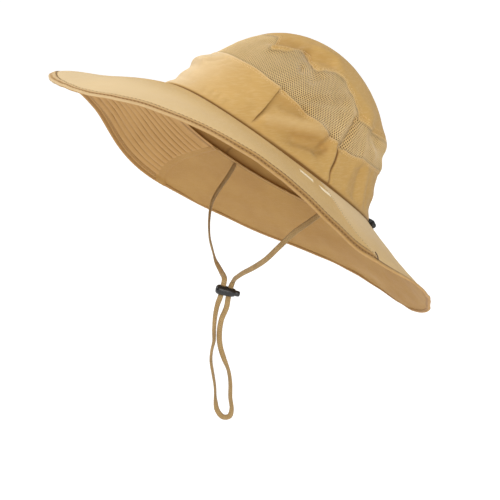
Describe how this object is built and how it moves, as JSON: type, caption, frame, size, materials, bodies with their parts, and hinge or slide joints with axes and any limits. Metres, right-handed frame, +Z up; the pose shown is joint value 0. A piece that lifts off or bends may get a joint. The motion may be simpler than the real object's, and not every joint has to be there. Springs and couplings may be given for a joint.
{
  "type": "wide-brim sun hat with neck flap",
  "caption": "Wide-brimmed cloth sun hat with a mesh vent band, longer neck flap, chin cord with cord lock and a size cord at the back, as worn.",
  "frame": {"origin": "centre of the head opening, in the plane where crown and brim are sewn together; the hat is held up by the head there", "axes": "+Z up with the hat worn tipped back by 36.9 degrees, wearer faces -Y, wearer's left is +X"},
  "size_m": [0.3464, 0.3111, 0.3003],
  "materials": {
    "crown_cloth": "tan woven nylon or polyester, soft sheen",
    "vent_mesh": "tan perforated knit mesh",
    "brim_cloth": "tan woven cloth over a stiff interlining, row stitched",
    "chin_cord": "flat tan braid",
    "back_cord": "black braided elastic",
    "lock_plastic": "black moulded plastic, slightly glossy"
  },
  "bodies": {
    "hat": {"crown_front_panel": "crown_cloth", "crown_side_panel_left": "crown_cloth", "crown_side_panel_right": "crown_cloth", "crown_back_panel": "crown_cloth", "crown_top_panel": "crown_cloth", "mesh_band": "vent_mesh", "brim_front": "brim_cloth", "brim_back_flap": "brim_cloth", "brim_front_binding": "brim_cloth", "flap_hem": "brim_cloth", "chin_cord": "chin_cord", "back_cord": "back_cord", "chin_lock_body": "lock_plastic", "back_lock_body": "lock_plastic"},
    "chin_button": {"chin_lock_button": "lock_plastic"},
    "back_button": {"back_lock_button": "lock_plastic"}
  },
  "joints": [
    {"name": "chin_button_press", "type": "slide", "parent": "hat", "child": "chin_button", "axis": [-0.4615, -0.8535, 0.2419], "range_m": [0, 0.001], "stiffness_N_per_m": 150, "springref_m": -0.002},
    {"name": "back_button_press", "type": "slide", "parent": "hat", "child": "back_button", "axis": [-1, 0, 0], "range_m": [0, 0.001], "stiffness_N_per_m": 150, "springref_m": -0.002}
  ]
}
